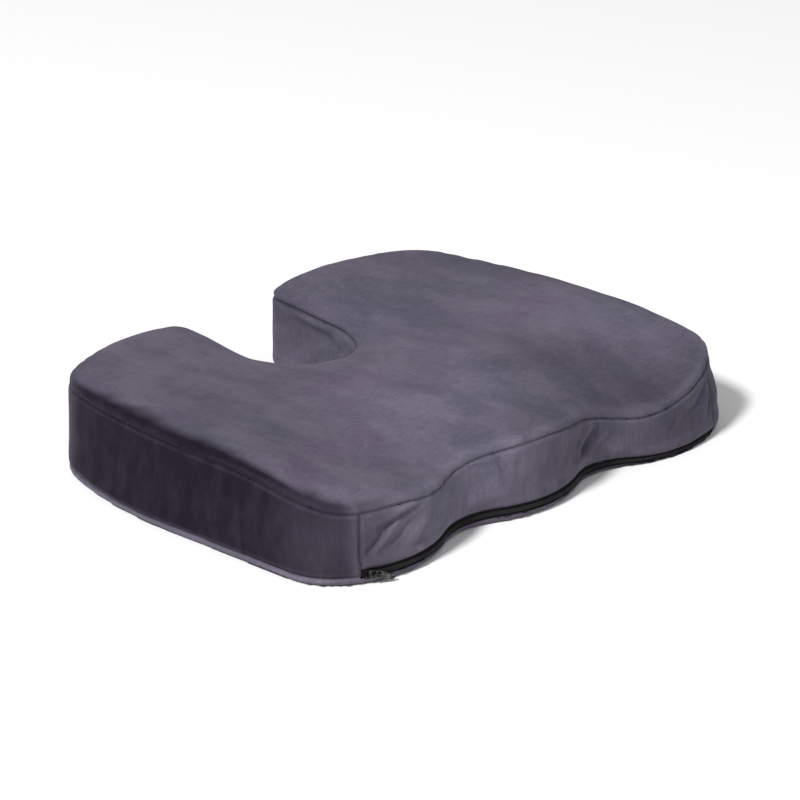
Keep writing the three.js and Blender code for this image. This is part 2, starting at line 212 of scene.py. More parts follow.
cover = {
    "inset": -0.0004,       # how far inside the outline the blank starts; negative is outside
    "hem": -0.0002,         # the same by the zip, where the cloth keeps the outline
    "hemFrom": 0.0032,      # heights between which it does, fully up to the second and not past the third
    "hemFull": 0.0150,
    "hemEnd": 0.0280,
    "hemReach": 0.006,
    "rim": 0.0036,          # rolled top edge
    "turn": 0.0030,         # rounded lower edge
    "blankStep": 0.004,     # between the points of the blank's outline
    "voxel": 0.0046,
    "pressure": 4.0,
    "clothFrames": 20,
    "clothMass": 0.3,
    "heldBelow": 0.002,     # the underside is held down up to this height
    "mostSwell": 0.0020,
    "cloth": 0.0014,        # thickness
    "topSeam": 0.0072,      # below the top
    "sideSeam": 0.0070,     # height of the seam above the underside
    "zipHeight": 0.0086,
    "zipOpening": 0.0072,
    "frontSeam": 0.194,     # X of the upright seams
    "frontLimit": -0.0795,  # everything between those seams lies in front of this
    "underside": 0.0006,    # the cloth lies on grip dots this high
    "hangFrom": (0, 0.0050, 0.0122, 0.040),  # at the right the cloth hangs lower: heights,
    "hangBy": (0, 0.0038, 0.0064, 0),        # and by how much
    "hangX": (0.03, 0.15),                   # it starts and is full at these distances
    "hangY": (0.12, 0.15),
    "gapDepth": 0.008,      # the zip's opening is cut from faces this near the outline
    "flares": [             # where loose cloth stands away: x, y, spread, outwards, its top and its middle
        (0.214, -0.160, 0.034, (0.0048, -0.0044), 0.056, 0.026),
        (-0.226, 0.060, 0.050, (-0.0050, 0.0006), 0.030, 0.008),
    ],
}


# small helpers

def onlySelect(obj):
    if bpy.context.object and bpy.context.object.mode != "OBJECT":
        bpy.ops.object.mode_set(mode="OBJECT")
    bpy.ops.object.select_all(action="DESELECT")
    obj.select_set(True)
    bpy.context.view_layer.objects.active = obj


def applyAll(obj):
    onlySelect(obj)
    for modifier in list(obj.modifiers):
        bpy.ops.object.modifier_apply(modifier=modifier.name)


def addModifier(obj, kind, **settings):
    onlySelect(obj)
    bpy.ops.object.modifier_add(type=kind)
    modifier = obj.modifiers[-1]
    for name, value in settings.items():
        setattr(modifier, name, value)
    return modifier


def freeze(obj):
    # the object's place goes into its mesh
    onlySelect(obj)
    bpy.ops.object.transform_apply(location=True, rotation=True, scale=True)


def readPoints(obj):
    flat = np.empty(len(obj.data.vertices) * 3)
    obj.data.vertices.foreach_get("co", flat)
    return flat.reshape(-1, 3)


def writePoints(obj, points):
    obj.data.vertices.foreach_set("co", points.ravel())
    obj.data.update()


def readNormals(obj):
    flat = np.empty(len(obj.data.vertices) * 3)
    obj.data.vertices.foreach_get("normal", flat)
    return flat.reshape(-1, 3)


def copyOf(obj, name):
    onlySelect(obj)
    bpy.ops.object.duplicate()
    twin = bpy.context.object
    twin.name = name
    twin.data.name = name
    return twin


def selectFaces(obj, wanted):
    # wanted takes an array of face centres and gives an array of yes or no
    bpy.ops.object.mode_set(mode="OBJECT")
    centres = np.empty(len(obj.data.polygons) * 3)
    obj.data.polygons.foreach_get("center", centres)
    chosen = wanted(centres.reshape(-1, 3))
    obj.data.vertices.foreach_set("select", np.zeros(len(obj.data.vertices), bool))
    obj.data.edges.foreach_set("select", np.zeros(len(obj.data.edges), bool))
    obj.data.polygons.foreach_set("select", chosen)
    bpy.ops.object.mode_set(mode="EDIT")
    bpy.ops.mesh.select_mode(type="FACE")


# the blank: a block with the cushion's outline, swollen like a stuffed cover

def makeBlank(name, inset, rim, turn):
    points = fullOutline(inset, cover["blankStep"])
    bpy.ops.mesh.primitive_circle_add(vertices=len(points), radius=0.2, fill_type="NGON")
    blank = bpy.context.object
    blank.name = name
    for vertex, point in zip(blank.data.vertices, points):
        vertex.co = (point.x, point.y, 0)
    bpy.ops.object.mode_set(mode="EDIT")
    bpy.ops.mesh.select_all(action="SELECT")
    bpy.ops.mesh.extrude_region_move(TRANSFORM_OT_translate={"value": (0, 0, seat["blockHeight"])})
    bpy.ops.mesh.select_all(action="SELECT")
    bpy.ops.mesh.normals_make_consistent(inside=False)
    bpy.ops.mesh.select_mode(type="EDGE")
    for level, size in ((seat["blockHeight"], rim), (0, turn)):
        bpy.ops.mesh.select_all(action="DESELECT")
        bpy.ops.object.mode_set(mode="OBJECT")
        for edge in blank.data.edges:
            heights = [blank.data.vertices[v].co.z for v in edge.vertices]
            edge.select = all(abs(h - level) < 1e-5 for h in heights)
        bpy.ops.object.mode_set(mode="EDIT")
        bpy.ops.mesh.bevel(offset=size, segments=4, profile=0.5, affect="EDGES")
    bpy.ops.object.mode_set(mode="OBJECT")
    return blank


def swell(blank):
    # pressure from inside, with the underside held down
    start = readPoints(blank)
    held = blank.vertex_groups.new(name="held")
    held.add([int(i) for i in np.nonzero(start[:, 2] < cover["heldBelow"])[0]], 1.0, "REPLACE")
    cloth = addModifier(blank, "CLOTH")
    cloth.settings.quality = 5
    cloth.settings.mass = cover["clothMass"]
    cloth.settings.use_pressure = True
    cloth.settings.uniform_pressure_force = cover["pressure"]
    cloth.settings.effector_weights.gravity = 0
    cloth.settings.vertex_group_mass = "held"
    cloth.point_cache.frame_start = 1
    cloth.point_cache.frame_end = cover["clothFrames"]
    for frameNumber in range(1, cover["clothFrames"] + 1):
        bpy.context.scene.frame_set(frameNumber)
    applyAll(blank)
    bpy.context.scene.frame_set(1)
    end = readPoints(blank)
    move = end - start
    length = np.linalg.norm(move, axis=1, keepdims=True)
    limited = cover["mostSwell"] * np.tanh(length / cover["mostSwell"])
    writePoints(blank, start + move * limited / np.maximum(length, 1e-9))


def pullToOutline(blank):
    # by the zip the cloth is held by its tapes, so it keeps the outline exactly
    c = cover
    points = readPoints(blank)
    share = 1 - smooth(points[:, 2], c["hemFull"], c["hemEnd"])
    near = (share > 0) & (points[:, 2] > c["hemFrom"]) & (points[:, 1] < c["frontLimit"])
    ring = np.array([(p.x, p.y) for p in fullOutline(c["hem"], 0.0015)])
    ring = ring[ring[:, 1] < c["frontLimit"] + 0.02]
    ring = ring[np.argsort(ring[:, 0])]
    starts, steps = ring[:-1], np.diff(ring, axis=0)
    squares = np.maximum((steps ** 2).sum(axis=1), 1e-12)
    for i in np.nonzero(near)[0]:
        place = points[i, :2]
        along = np.clip(((place - starts) * steps).sum(axis=1) / squares, 0, 1)
        feet = starts + steps * along[:, None]
        gaps = np.linalg.norm(feet - place, axis=1)
        nearest = np.argmin(gaps)
        if gaps[nearest] < c["hemReach"]:
            points[i, :2] += (feet[nearest] - place) * share[i]
    writePoints(blank, points)


def makeCoverBlank():
    blank = makeBlank("coverBlank", cover["inset"], cover["rim"], cover["turn"])
    addModifier(blank, "REMESH", mode="VOXEL", voxel_size=cover["voxel"])
    applyAll(blank)
    swell(blank)
    foam = copyOf(blank, "foamCore")
    addModifier(blank, "SUBSURF", levels=1, render_levels=1)
    applyAll(blank)
    pullToOutline(blank)
    return blank, foam


coverBlank, foamCore = makeCoverBlank()
print("blank", len(coverBlank.data.vertices))


# cutting the blank into panels

def cut(point, normal):
    bpy.ops.mesh.select_all(action="SELECT")
    bpy.ops.mesh.bisect(plane_co=point, plane_no=normal)


def takeFaces(blank, name, wanted):
    selectFaces(blank, wanted)
    bpy.ops.mesh.separate(type="SELECTED")
    bpy.ops.object.mode_set(mode="OBJECT")
    part = [o for o in bpy.context.selected_objects if o != blank][0]
    part.name = name
    part.data.name = name
    onlySelect(blank)
    return part


def cutPanels(blank):
    c = cover
    zipTop = c["zipHeight"] + c["zipOpening"] / 2
    zipBottom = round(c["zipHeight"] - c["zipOpening"] / 2, 6)
    topSeam = seat["blockHeight"] - c["topSeam"]
    seamX, limit = c["frontSeam"], c["frontLimit"]
    onlySelect(blank)
    bpy.ops.object.mode_set(mode="EDIT")
    for level in sorted({topSeam, c["sideSeam"], zipTop, zipBottom}):
        cut((0, 0, level), (0, 0, 1))
    for x in (-seamX, 0, seamX):
        cut((x, 0, 0), (1, 0, 0))

    def inFront(p):
        return (p[:, 1] < limit) & (np.abs(p[:, 0]) < seamX)

    takeFaces(blank, "zipGap", lambda p: inFront(p) & (p[:, 2] > zipBottom) & (p[:, 2] < zipTop)
              & (depthInside(p) < c["gapDepth"]))
    panels = {
        "topPanel": takeFaces(blank, "topPanel", lambda p: p[:, 2] > topSeam),
        "frontBand": takeFaces(blank, "frontBand", lambda p: inFront(p) & (p[:, 2] > zipTop)),
    }
    for side, name in ((-1, "sideBandLeft"), (1, "sideBandRight")):
        panels[name] = takeFaces(
            blank, name, lambda p: ~inFront(p) & (p[:, 2] > c["sideSeam"]) & (p[:, 0] * side > 0))
    blank.name = "bottomPanel"
    panels["bottomPanel"] = blank
    bpy.data.objects.remove(bpy.data.objects["zipGap"])
    return panels


def depthInside(p):
    # distance to the outline's nearest point
    tree = KDTree(len(outlinePoints))
    for i, q in enumerate(outlinePoints):
        tree.insert((q.x, q.y, 0), i)
    tree.balance()
    return np.array([tree.find((x, y, 0))[2] for x, y, z in p])


outlinePoints = fullOutline(0, 0.003)
panels = cutPanels(coverBlank)
print("panels", {name: len(o.data.vertices) for name, o in panels.items()})


# seams, folds and the seat's shape

seams = {
    "depth": 0.0015,       # how far the cloth is drawn in at a seam
    "width": 0.0024,
    "pucker": 0.00035,     # unevenness along it
    "puckerLength": 0.011,
    "shared": 0.0016,      # edge points this near each other move the same way
}

# depth is inwards, so a negative depth is a ridge
folds = [
    # fanning out from the lower end of the left upright seam
    {"path": [(-0.1900, -0.1690, 0.022), (-0.1800, -0.1730, 0.033), (-0.1700, -0.1755, 0.043)],
     "depth": 0.0036, "width": 0.0028},
    {"path": [(-0.1850, -0.1710, 0.024), (-0.1740, -0.1745, 0.035), (-0.1630, -0.1770, 0.045)],
     "depth": -0.0022, "width": 0.0032},
    {"path": [(-0.1800, -0.1730, 0.040), (-0.1665, -0.1765, 0.0465), (-0.1500, -0.1775, 0.0495),
              (-0.1360, -0.1770, 0.0515)], "depth": 0.0042, "width": 0.0028},
    {"path": [(-0.1760, -0.1740, 0.046), (-0.1600, -0.1770, 0.0515), (-0.1400, -0.1770, 0.0555)],
     "depth": -0.0022, "width": 0.0034},
    {"path": [(-0.1700, -0.1755, 0.028), (-0.1580, -0.1772, 0.038), (-0.1460, -0.1775, 0.044)],
     "depth": 0.0026, "width": 0.0032},
    {"path": [(-0.1560, -0.1775, 0.022), (-0.1420, -0.1770, 0.034), (-0.1300, -0.1755, 0.041)],
     "depth": -0.0016, "width": 0.0040},
    {"path": [(-0.1480, -0.1775, 0.018), (-0.1340, -0.1765, 0.028)], "depth": 0.0012, "width": 0.0035},
    # gathers in the cloth where it crosses the middle ridge
    {"path": [(-0.0800, -0.1590, 0.0530), (-0.0650, -0.1590, 0.0500), (-0.0530, -0.1620, 0.0460)],
     "depth": 0.0015, "width": 0.0026},
    {"path": [(-0.0460, -0.1640, 0.053), (-0.0420, -0.1660, 0.046), (-0.0395, -0.1672, 0.038)],
     "depth": 0.0022, "width": 0.0024},
    {"path": [(-0.0400, -0.1665, 0.052), (-0.0350, -0.1685, 0.042)], "depth": -0.0014, "width": 0.0030},
    {"path": [(-0.0300, -0.1700, 0.050), (-0.0280, -0.1705, 0.040)], "depth": 0.0010, "width": 0.0026},
    # the deep crease in the right-hand hollow
    {"path": [(0.0470, -0.1640, 0.026), (0.0600, -0.1595, 0.031), (0.0750, -0.1582, 0.039)],
     "depth": 0.0042, "width": 0.0034},
    {"path": [(0.0450, -0.1650, 0.034), (0.0600, -0.1600, 0.038), (0.0700, -0.1582, 0.0425)],
     "depth": -0.0026, "width": 0.0038},
    {"path": [(0.0620, -0.1592, 0.0215), (0.0780, -0.1582, 0.028), (0.0880, -0.1592, 0.035)],
     "depth": -0.0012, "width": 0.0040},
    # slack at the right corner
    {"path": [(0.1860, -0.1710, 0.014), (0.1910, -0.1690, 0.028), (0.1950, -0.1660, 0.043)],
     "depth": 0.0030, "width": 0.0034},
    {"path": [(0.1960, -0.1650, 0.010), (0.2020, -0.1620, 0.028), (0.2050, -0.1590, 0.044)],
     "depth": -0.0026, "width": 0.0040},
    {"path": [(0.2050, -0.1590, 0.008), (0.2090, -0.1550, 0.026), (0.2110, -0.1510, 0.050)],
     "depth": 0.0032, "width": 0.0036},
    {"path": [(0.2160, -0.1460, 0.016), (0.2180, -0.1420, 0.050)], "depth": -0.0020, "width": 0.0040},
    {"path": [(0.1560, -0.1770, 0.030), (0.1720, -0.1755, 0.037), (0.1860, -0.1712, 0.047)],
     "depth": 0.0014, "width": 0.0034},
    {"path": [(0.1380, -0.1765, 0.020), (0.1440, -0.1772, 0.030)], "depth": 0.0010, "width": 0.0030},
    # the notch
    {"path": [(0.0500, 0.1600, 0.0660), (0.0495, 0.1440, 0.0630), (0.0492, 0.1280, 0.0600)],
     "depth": 0.0024, "width": 0.0028},
    {"path": [(0.0492, 0.1420, 0.0560), (0.0490, 0.1250, 0.0530), (0.0490, 0.1050, 0.0490),
              (0.0480, 0.0860, 0.0440)], "depth": 0.0020, "width": 0.0036},
    {"path": [(0.0492, 0.1420, 0.0610), (0.0490, 0.1250, 0.0575), (0.0490, 0.1080, 0.0530)],
     "depth": -0.0016, "width": 0.0036},
    {"path": [(-0.0490, 0.1300, 0.0580), (-0.0490, 0.1000, 0.0500)], "depth": 0.0018, "width": 0.0036},
    # the rear corners, where the bands are eased round
    {"path": [(-0.2180, 0.1000, 0.020), (-0.2160, 0.1080, 0.048)], "depth": 0.0012, "width": 0.0038},
    {"path": [(0.2180, 0.1000, 0.022), (0.2140, 0.1120, 0.050)], "depth": 0.0014, "width": 0.0038},
    {"path": [(0.1300, 0.1740, 0.020), (0.1380, 0.1720, 0.046)], "depth": 0.0012, "width": 0.0038},
    {"path": [(-0.1360, 0.1725, 0.018), (-0.1290, 0.1740, 0.044)], "depth": 0.0012, "width": 0.0038},
]

foldFade = {
    "start": 0.12,          # a fold starts and ends at this share of a half wave
    "length": 0.76,
    "seamGap": 0.0032,      # and dies out this near a seam
    "zipFrom": 0.014,       # and between these heights above the zip
    "zipTo": 0.026,
}

unevenness = {"height": 0.0007, "scale": 14, "fineHeight": 0.00022, "fineScale": 55}


def boundaryPoints(obj):
    counts = np.zeros(len(obj.data.edges), int)
    for polygon in obj.data.polygons:
        for loop in polygon.loop_indices:
            counts[obj.data.loops[loop].edge_index] += 1
    ends = np.empty(len(obj.data.edges) * 2, int)
    obj.data.edges.foreach_get("vertices", ends)
    return np.unique(ends.reshape(-1, 2)[counts == 1])


def distanceTo(points, targets):
    tree = KDTree(len(targets))
    for i, target in enumerate(targets):
        tree.insert(target, i)
    tree.balance()
    return np.array([tree.find(p)[2] for p in points])


def distanceToPath(points, path):
    # distance to the nearest point of a broken line, and how far along it, 0 to 1
    path = np.array(path)
    lengths = np.linalg.norm(np.diff(path, axis=0), axis=1)
    best = np.full(len(points), 1e9)
    along = np.zeros(len(points))
    for i, length in enumerate(lengths):
        step = path[i + 1] - path[i]
        t = np.clip(((points - path[i]) @ step) / length ** 2, 0, 1)
        gap = np.linalg.norm(points - path[i] - t[:, None] * step, axis=1)
        nearer = gap < best
        best = np.where(nearer, gap, best)
        along = np.where(nearer, (lengths[:i].sum() + t * length) / lengths.sum(), along)
    return best, along


def noiseAt(points, scale, seed):
    offset = Vector((seed * 7.3, seed * 3.1, seed * 5.7))
    return np.array([noise.noise(Vector(p) * scale + offset) for p in points])


def sinkToSeat(points):
    low = cover["zipHeight"] + cover["zipOpening"] / 2
    high = seat["blockHeight"] - cover["topSeam"]
    share = np.clip((points[:, 2] - low) / (high - low), 0, 1)
    sink = seat["blockHeight"] - seatHeight(points[:, 0], points[:, 1])
    points[:, 2] -= sink * share


def hang(points):
    # the lower edge drops towards the right, where the cloth stands away from the foam
    x, y, z = points.T
    drop = np.interp(z, cover["hangFrom"], cover["hangBy"])
    points[:, 2] -= drop * smooth(x, *cover["hangX"]) * smooth(-y, *cover["hangY"])
    for atX, atY, spread, out, top, middle in cover["flares"]:
        near = bell(np.hypot(x - atX, y - atY), spread)
        near = near * smooth(z, -0.010, 0.008) * (1 - smooth(z, middle, top))
        points[:, 0] += out[0] * near
        points[:, 1] += out[1] * near


def foldAt(points, fold):
    # how far each point is from the fold, and the fold's strength there, which fades at both ends
    gap, along = distanceToPath(points, fold["path"])
    return gap, np.sin(np.pi * np.clip(foldFade["start"] + foldFade["length"] * along, 0, 1))


def gatherSeams():
    # every panel's edge points with their normals, so that panels which meet share one direction
    points, normals = [], []
    for panel in panels.values():
        border = boundaryPoints(panel)
        points.append(readPoints(panel)[border])
        normals.append(readNormals(panel)[border])
    tree = KDTree(sum(len(p) for p in points))
    for i, point in enumerate(np.vstack(points)):
        tree.insert(point, i)
    tree.balance()
    return tree, np.vstack(normals)


def finishPanel(panel, finer):
    c = cover
    if finer:
        addModifier(panel, "SUBSURF", levels=1, render_levels=1, subdivision_type="SIMPLE")
        applyAll(panel)
    points = readPoints(panel)
    border = boundaryPoints(panel)
    edge = distanceTo(points, points[border])
    normals = readNormals(panel)
    for i in border:
        near = [found[1] for found in seamTree.find_range(points[i], seams["shared"])]
        if near:
            mean = seamNormals[near].mean(axis=0)
            normals[i] = mean / np.linalg.norm(mean)
    pucker = noiseAt(points, 1 / seams["puckerLength"], 1)
    tuck = (seams["depth"] + seams["pucker"] * pucker) * np.exp(-(edge / seams["width"]) ** 2)
    points -= normals * tuck[:, None]
    sinkToSeat(points)
    hang(points)
    points[:, 2] = np.maximum(points[:, 2], c["underside"])
    writePoints(panel, points)
    normals = readNormals(panel)
    move = unevenness["height"] * noiseAt(points, unevenness["scale"], 2)
    move += unevenness["fineHeight"] * noiseAt(points, unevenness["fineScale"], 3)
    nearZip = 1
    if panel.name == "frontBand":
        nearZip = smooth(points[:, 2], foldFade["zipFrom"], foldFade["zipTo"])
    nearSeam = 1 - np.exp(-(edge / foldFade["seamGap"]) ** 2)
    for fold in folds:
        gap, fade = foldAt(points, fold)
        move -= fold["depth"] * np.exp(-(gap / fold["width"]) ** 2) * fade * nearZip * nearSeam
    offFloor = np.clip((points[:, 2] - 0.001) / 0.004, 0, 1)     # the flat underside stays flat
    points += normals * (move * offFloor)[:, None]
    writePoints(panel, points)
    seamGap = panel.data.attributes.new("seamGap", "FLOAT", "POINT")
    seamGap.data.foreach_set("value", edge)
    addModifier(panel, "SOLIDIFY", thickness=c["cloth"], offset=-1)
    applyAll(panel)
    points = readPoints(panel)
    points[:, 2] = np.maximum(points[:, 2], c["underside"] / 2)
    if panel.name == "bottomPanel":
        # the lower lip of the zip opening stays under the slider's way
        lip = (points[:, 1] < c["frontLimit"]) & (np.abs(points[:, 0]) < c["frontSeam"])
        points[lip, 2] = np.minimum(points[lip, 2], c["zipHeight"] - c["zipOpening"] / 2)
    writePoints(panel, points)
    bpy.ops.object.shade_smooth()


seamTree, seamNormals = gatherSeams()
for name, panel in panels.items():
    finishPanel(panel, name in ("frontBand", "sideBandLeft", "sideBandRight"))
print("panels shaped")


# How light the cover looks at each point: the pile's lie together with painted light and shade. The pile
# lies the other way on the side bands and looks darker there; the levels of the sides, front and corners
# are also painted light and shade set against the lamps.
napAndShading = {
    "top": 0.78,
    "rimFrom": -0.0008,     # depths below the seat at which the rolled rim turns to the side's level, painted shade included
    "rimTo": 0.0014,
    # the front's level is partly painted light; the left side's is partly painted shade, set dark although
    # the key lamp lights that band from the left
    "front": 1.04,
    "leftSide": 0.065,
    "rightSide": 0.60,
    "rear": 0.60,
    "notch": 0.74,
    "leftCornerShade": 0.52,     # painted shade on the band round the left corner
    "under": 1.00,
    "most": 2.0,
    "leftBlend": (0.184, 0.208),    # distances over which one wall's level turns into the next
    "rightBlend": (0.187, 0.207),
    "cornerX": (0.1, 0.19),
    "cornerY": (-0.14, -0.06),
    "rearY": (0.11, 0.16),
    "notchX": (0.056, 0.085),
    "notchY": 0.03,
    "hemX": (-0.01, 0.09),
    "hemY": (0.150, 0.168),
    "rightCorner": 0.12,    # the right corner's level below the front's
    "hemShade": 0.85,       # darkening of the strip below the zip's right half
    "foldShading": 85,           # painted shade in a fold's hollow and painted highlight on a ridge, for each metre of the fold's depth
    "foldShadingWidth": 0.8,     # of the fold's own
    "seamShade": 0.45,      # the shaded line in a seam
    "seamLine": 0.0011,
    "seamHighlight": 0.06,        # painted highlight on the raised cloth beside it, stronger on the left band
    "leftSeamHighlight": 1.6,
    "seamHighlightAt": 0.0030,
    "seamHighlightWidth": 0.0012,
    "spots": [              # x, y, z, spread, amount; lighter and darker patches, partly brushed pile and partly painted light and shade on slopes, hollows and the front band
        (-0.208, -0.150, 0.035, 0.022, 0.22),
        (-0.043, -0.062, 0.069, 0.040, 0.12),
        (0.020, -0.090, 0.067, 0.040, 0.14),
        (0.085, -0.080, 0.064, 0.028, -0.22),
        (0.130, -0.100, 0.060, 0.030, -0.12),
        (-0.067, -0.084, 0.067, 0.034, 0.14),
        (-0.180, -0.040, 0.072, 0.050, -0.08),
        (-0.020, -0.066, 0.069, 0.024, -0.14),
        (0.139, 0.076, 0.072, 0.060, -0.10),
        (0.170, -0.097, 0.067, 0.034, 0.08),
        (0.049, 0.156, 0.058, 0.022, -0.12),
        (0.150, 0.000, 0.073, 0.070, 0.10),
        (-0.150, 0.060, 0.072, 0.060, -0.08),
        (0.060, -0.158, 0.035, 0.022, -0.36),
        (0.000, -0.178, 0.035, 0.030, -0.36),
        (0.128, -0.175, 0.030, 0.040, -0.46),
        (0.200, -0.168, 0.030, 0.024, -0.18),
        (0.178, -0.174, 0.036, 0.020, -0.10),
    ],
}


def wallNapAndShading(x, y):
    # each wall's level: the pile's lie, with painted light on the front and painted shade on the left band
    front = (1 - smooth(-x, *napAndShading["leftBlend"])) * (1 - smooth(x, *napAndShading["rightBlend"]))
    front = front * (y < cover["frontLimit"])
    corner = smooth(x, *napAndShading["cornerX"]) * (1 - smooth(y, *napAndShading["cornerY"]))    # given the front's level where the band turns to the front
    side = np.where(x < 0, napAndShading["leftSide"], napAndShading["rightSide"])
    side = side + (napAndShading["front"] - napAndShading["rightCorner"] - side) * corner
    side = side + (napAndShading["rear"] - side) * smooth(y, *napAndShading["rearY"])
    inNotch = (1 - smooth(np.abs(x), *napAndShading["notchX"])) * (y > napAndShading["notchY"])
    level = side + (napAndShading["front"] - side) * front
    level = level + (napAndShading["notch"] - level) * inNotch
    # painted shade round the left corner, where the band turns from the side to the front
    leftCornerShade = bell(x + 0.185, 0.017) * smooth(x, -0.198, -0.190) * (y < -0.14)
    return level - napAndShading["leftCornerShade"] * leftCornerShade


def layNapAndShading(panel):
    points = readPoints(panel)
    x, y, z = points.T
    level = wallNapAndShading(x, y)
    if panel.name == "topPanel":
        below = seatHeight(x, y) - z
        level = napAndShading["top"] + (level - napAndShading["top"]) * smooth(below, napAndShading["rimFrom"], napAndShading["rimTo"])
    under = np.full(len(points), panel.name == "bottomPanel")
    shaded = smooth(x, *napAndShading["hemX"]) * smooth(-y, *napAndShading["hemY"])
    level = np.where(under, napAndShading["under"] * (1 - napAndShading["hemShade"] * shaded), level)
    # lighter and darker patches: brushed pile, and painted light and shade on the seat's slopes, hollows
    # and front band
    for atX, atY, atZ, spread, amount in napAndShading["spots"]:
        gap = np.linalg.norm(points - (atX, atY, atZ), axis=1)
        level = level + amount * bell(gap, spread) * ~under
    # painted shade along each fold's hollow and painted highlight along each ridge
    for fold in folds:
        gap, fade = foldAt(points, fold)
        shade = fold["depth"] * napAndShading["foldShading"] * np.exp(-(gap / fold["width"] / napAndShading["foldShadingWidth"]) ** 2)
        level = level - shade * fade * ~under
    edge = np.empty(len(points))
    panel.data.attributes["seamGap"].data.foreach_get("value", edge)
    level = level * (1 - napAndShading["seamShade"] * np.exp(-(edge / napAndShading["seamLine"]) ** 2))
    # painted highlight on the raised cloth beside each seam, stronger on the left band
    seamLight = napAndShading["seamHighlight"] * (napAndShading["leftSeamHighlight"] if panel.name == "sideBandLeft" else 1)
    level = level + seamLight * np.exp(-((edge - napAndShading["seamHighlightAt"]) / napAndShading["seamHighlightWidth"]) ** 2) * ~under
    attribute = panel.data.attributes.new("napAndShading", "FLOAT", "POINT")
    attribute.data.foreach_set("value", np.clip(level, 0.0, napAndShading["most"]))


for panel in panels.values():
    layNapAndShading(panel)


foamFit = {
    "inside": 0.0060,       # how far the foam lies inside the cover's outer face
    "steps": 4,
    "lowest": 0.0024,
    "zipGap": 0.0020,       # and further back behind the zip, over these distances and heights
    "zipY": (0.140, 0.155),
    "zipZ": (0.014, 0.026),
}


def finishFoam(foam):
    points = readPoints(foam)
    sinkToSeat(points)
    writePoints(foam, points)
    for step in range(foamFit["steps"]):
        points = readPoints(foam) - readNormals(foam) * foamFit["inside"] / foamFit["steps"]
        points[:, 2] = np.maximum(points[:, 2], foamFit["lowest"])
        writePoints(foam, points)
    points = readPoints(foam)
    nearZip = smooth(-points[:, 1], *foamFit["zipY"]) * (1 - smooth(points[:, 2], *foamFit["zipZ"]))
    points[:, 1] += foamFit["zipGap"] * nearZip
    writePoints(foam, points)
    onlySelect(foam)
    bpy.ops.object.shade_smooth()


finishFoam(foamCore)
print("foam")


# the zip: two woven tapes, two nylon coils, stops, slider and pull

zipParts = {
    "tapeInset": 0.00205,
    "tapeThickness": 0.0005,
    "tapeEnd": 0.1925,
    "tapeGap": 0.00015,     # from the zip's middle line to each tape's near edge
    "tapeAbove": 0.010,     # and to the upper tape's and the lower tape's far edge
    "tapeBelow": 0.0052,
    "coilStart": -0.1862,
    "coilEnd": 0.188,
    "pitch": 0.0013,
    "coilInset": 0.0008,    # the coil's middle, inside the outline
    "loopLength": 0.00064,  # along the chain
    "loopWidth": 0.00176,   # across it
    "loopDepth": 0.00136,
    "coilMesh": 0.0001,     # how far the two rows of loops reach into each other
    "edgeRound": 0.00014,
}


def makePath(name, inset, spacing):
    points = fullOutline(inset, spacing)
    bpy.ops.mesh.primitive_circle_add(vertices=len(points), radius=0.2, fill_type="NOTHING")
    path = bpy.context.object
    path.name = name
    for vertex, point in zip(path.data.vertices, points):
        vertex.co = (point.x, point.y, 0)
    return path


def trim(obj, left, right):
    # keeps what lies in front, between two values of X
    onlySelect(obj)
    bpy.ops.object.mode_set(mode="EDIT")
    for place, normal in (((left, 0, 0), (-1, 0, 0)), ((right, 0, 0), (1, 0, 0)),
                          ((0, cover["frontLimit"], 0), (0, 1, 0))):
        bpy.ops.mesh.select_all(action="SELECT")
        bpy.ops.mesh.bisect(plane_co=place, plane_no=normal, clear_outer=True)
    bpy.ops.object.mode_set(mode="OBJECT")


def makeTape(name, low, high):
    z = zipParts
    tape = makePath(name, z["tapeInset"] - z["tapeThickness"] / 2, 0.002)
    bpy.ops.object.mode_set(mode="EDIT")
    bpy.ops.mesh.select_mode(type="EDGE")
    bpy.ops.mesh.select_all(action="SELECT")
    bpy.ops.transform.translate(value=(0, 0, low))
    bpy.ops.mesh.extrude_edges_move(TRANSFORM_OT_translate={"value": (0, 0, high - low)})
    bpy.ops.mesh.select_all(action="SELECT")
    bpy.ops.mesh.normals_make_consistent(inside=False)
    bpy.ops.object.mode_set(mode="OBJECT")
    trim(tape, -z["tapeEnd"], z["tapeEnd"])
    addModifier(tape, "SOLIDIFY", thickness=z["tapeThickness"], offset=-1)
    applyAll(tape)
    hangWithCover(tape)
    bpy.ops.object.shade_smooth_by_angle(angle=math.radians(40))
    return tape


def hangWithCover(obj):
    points = readPoints(obj)
    hang(points)
    writePoints(obj, points)
    onlySelect(obj)


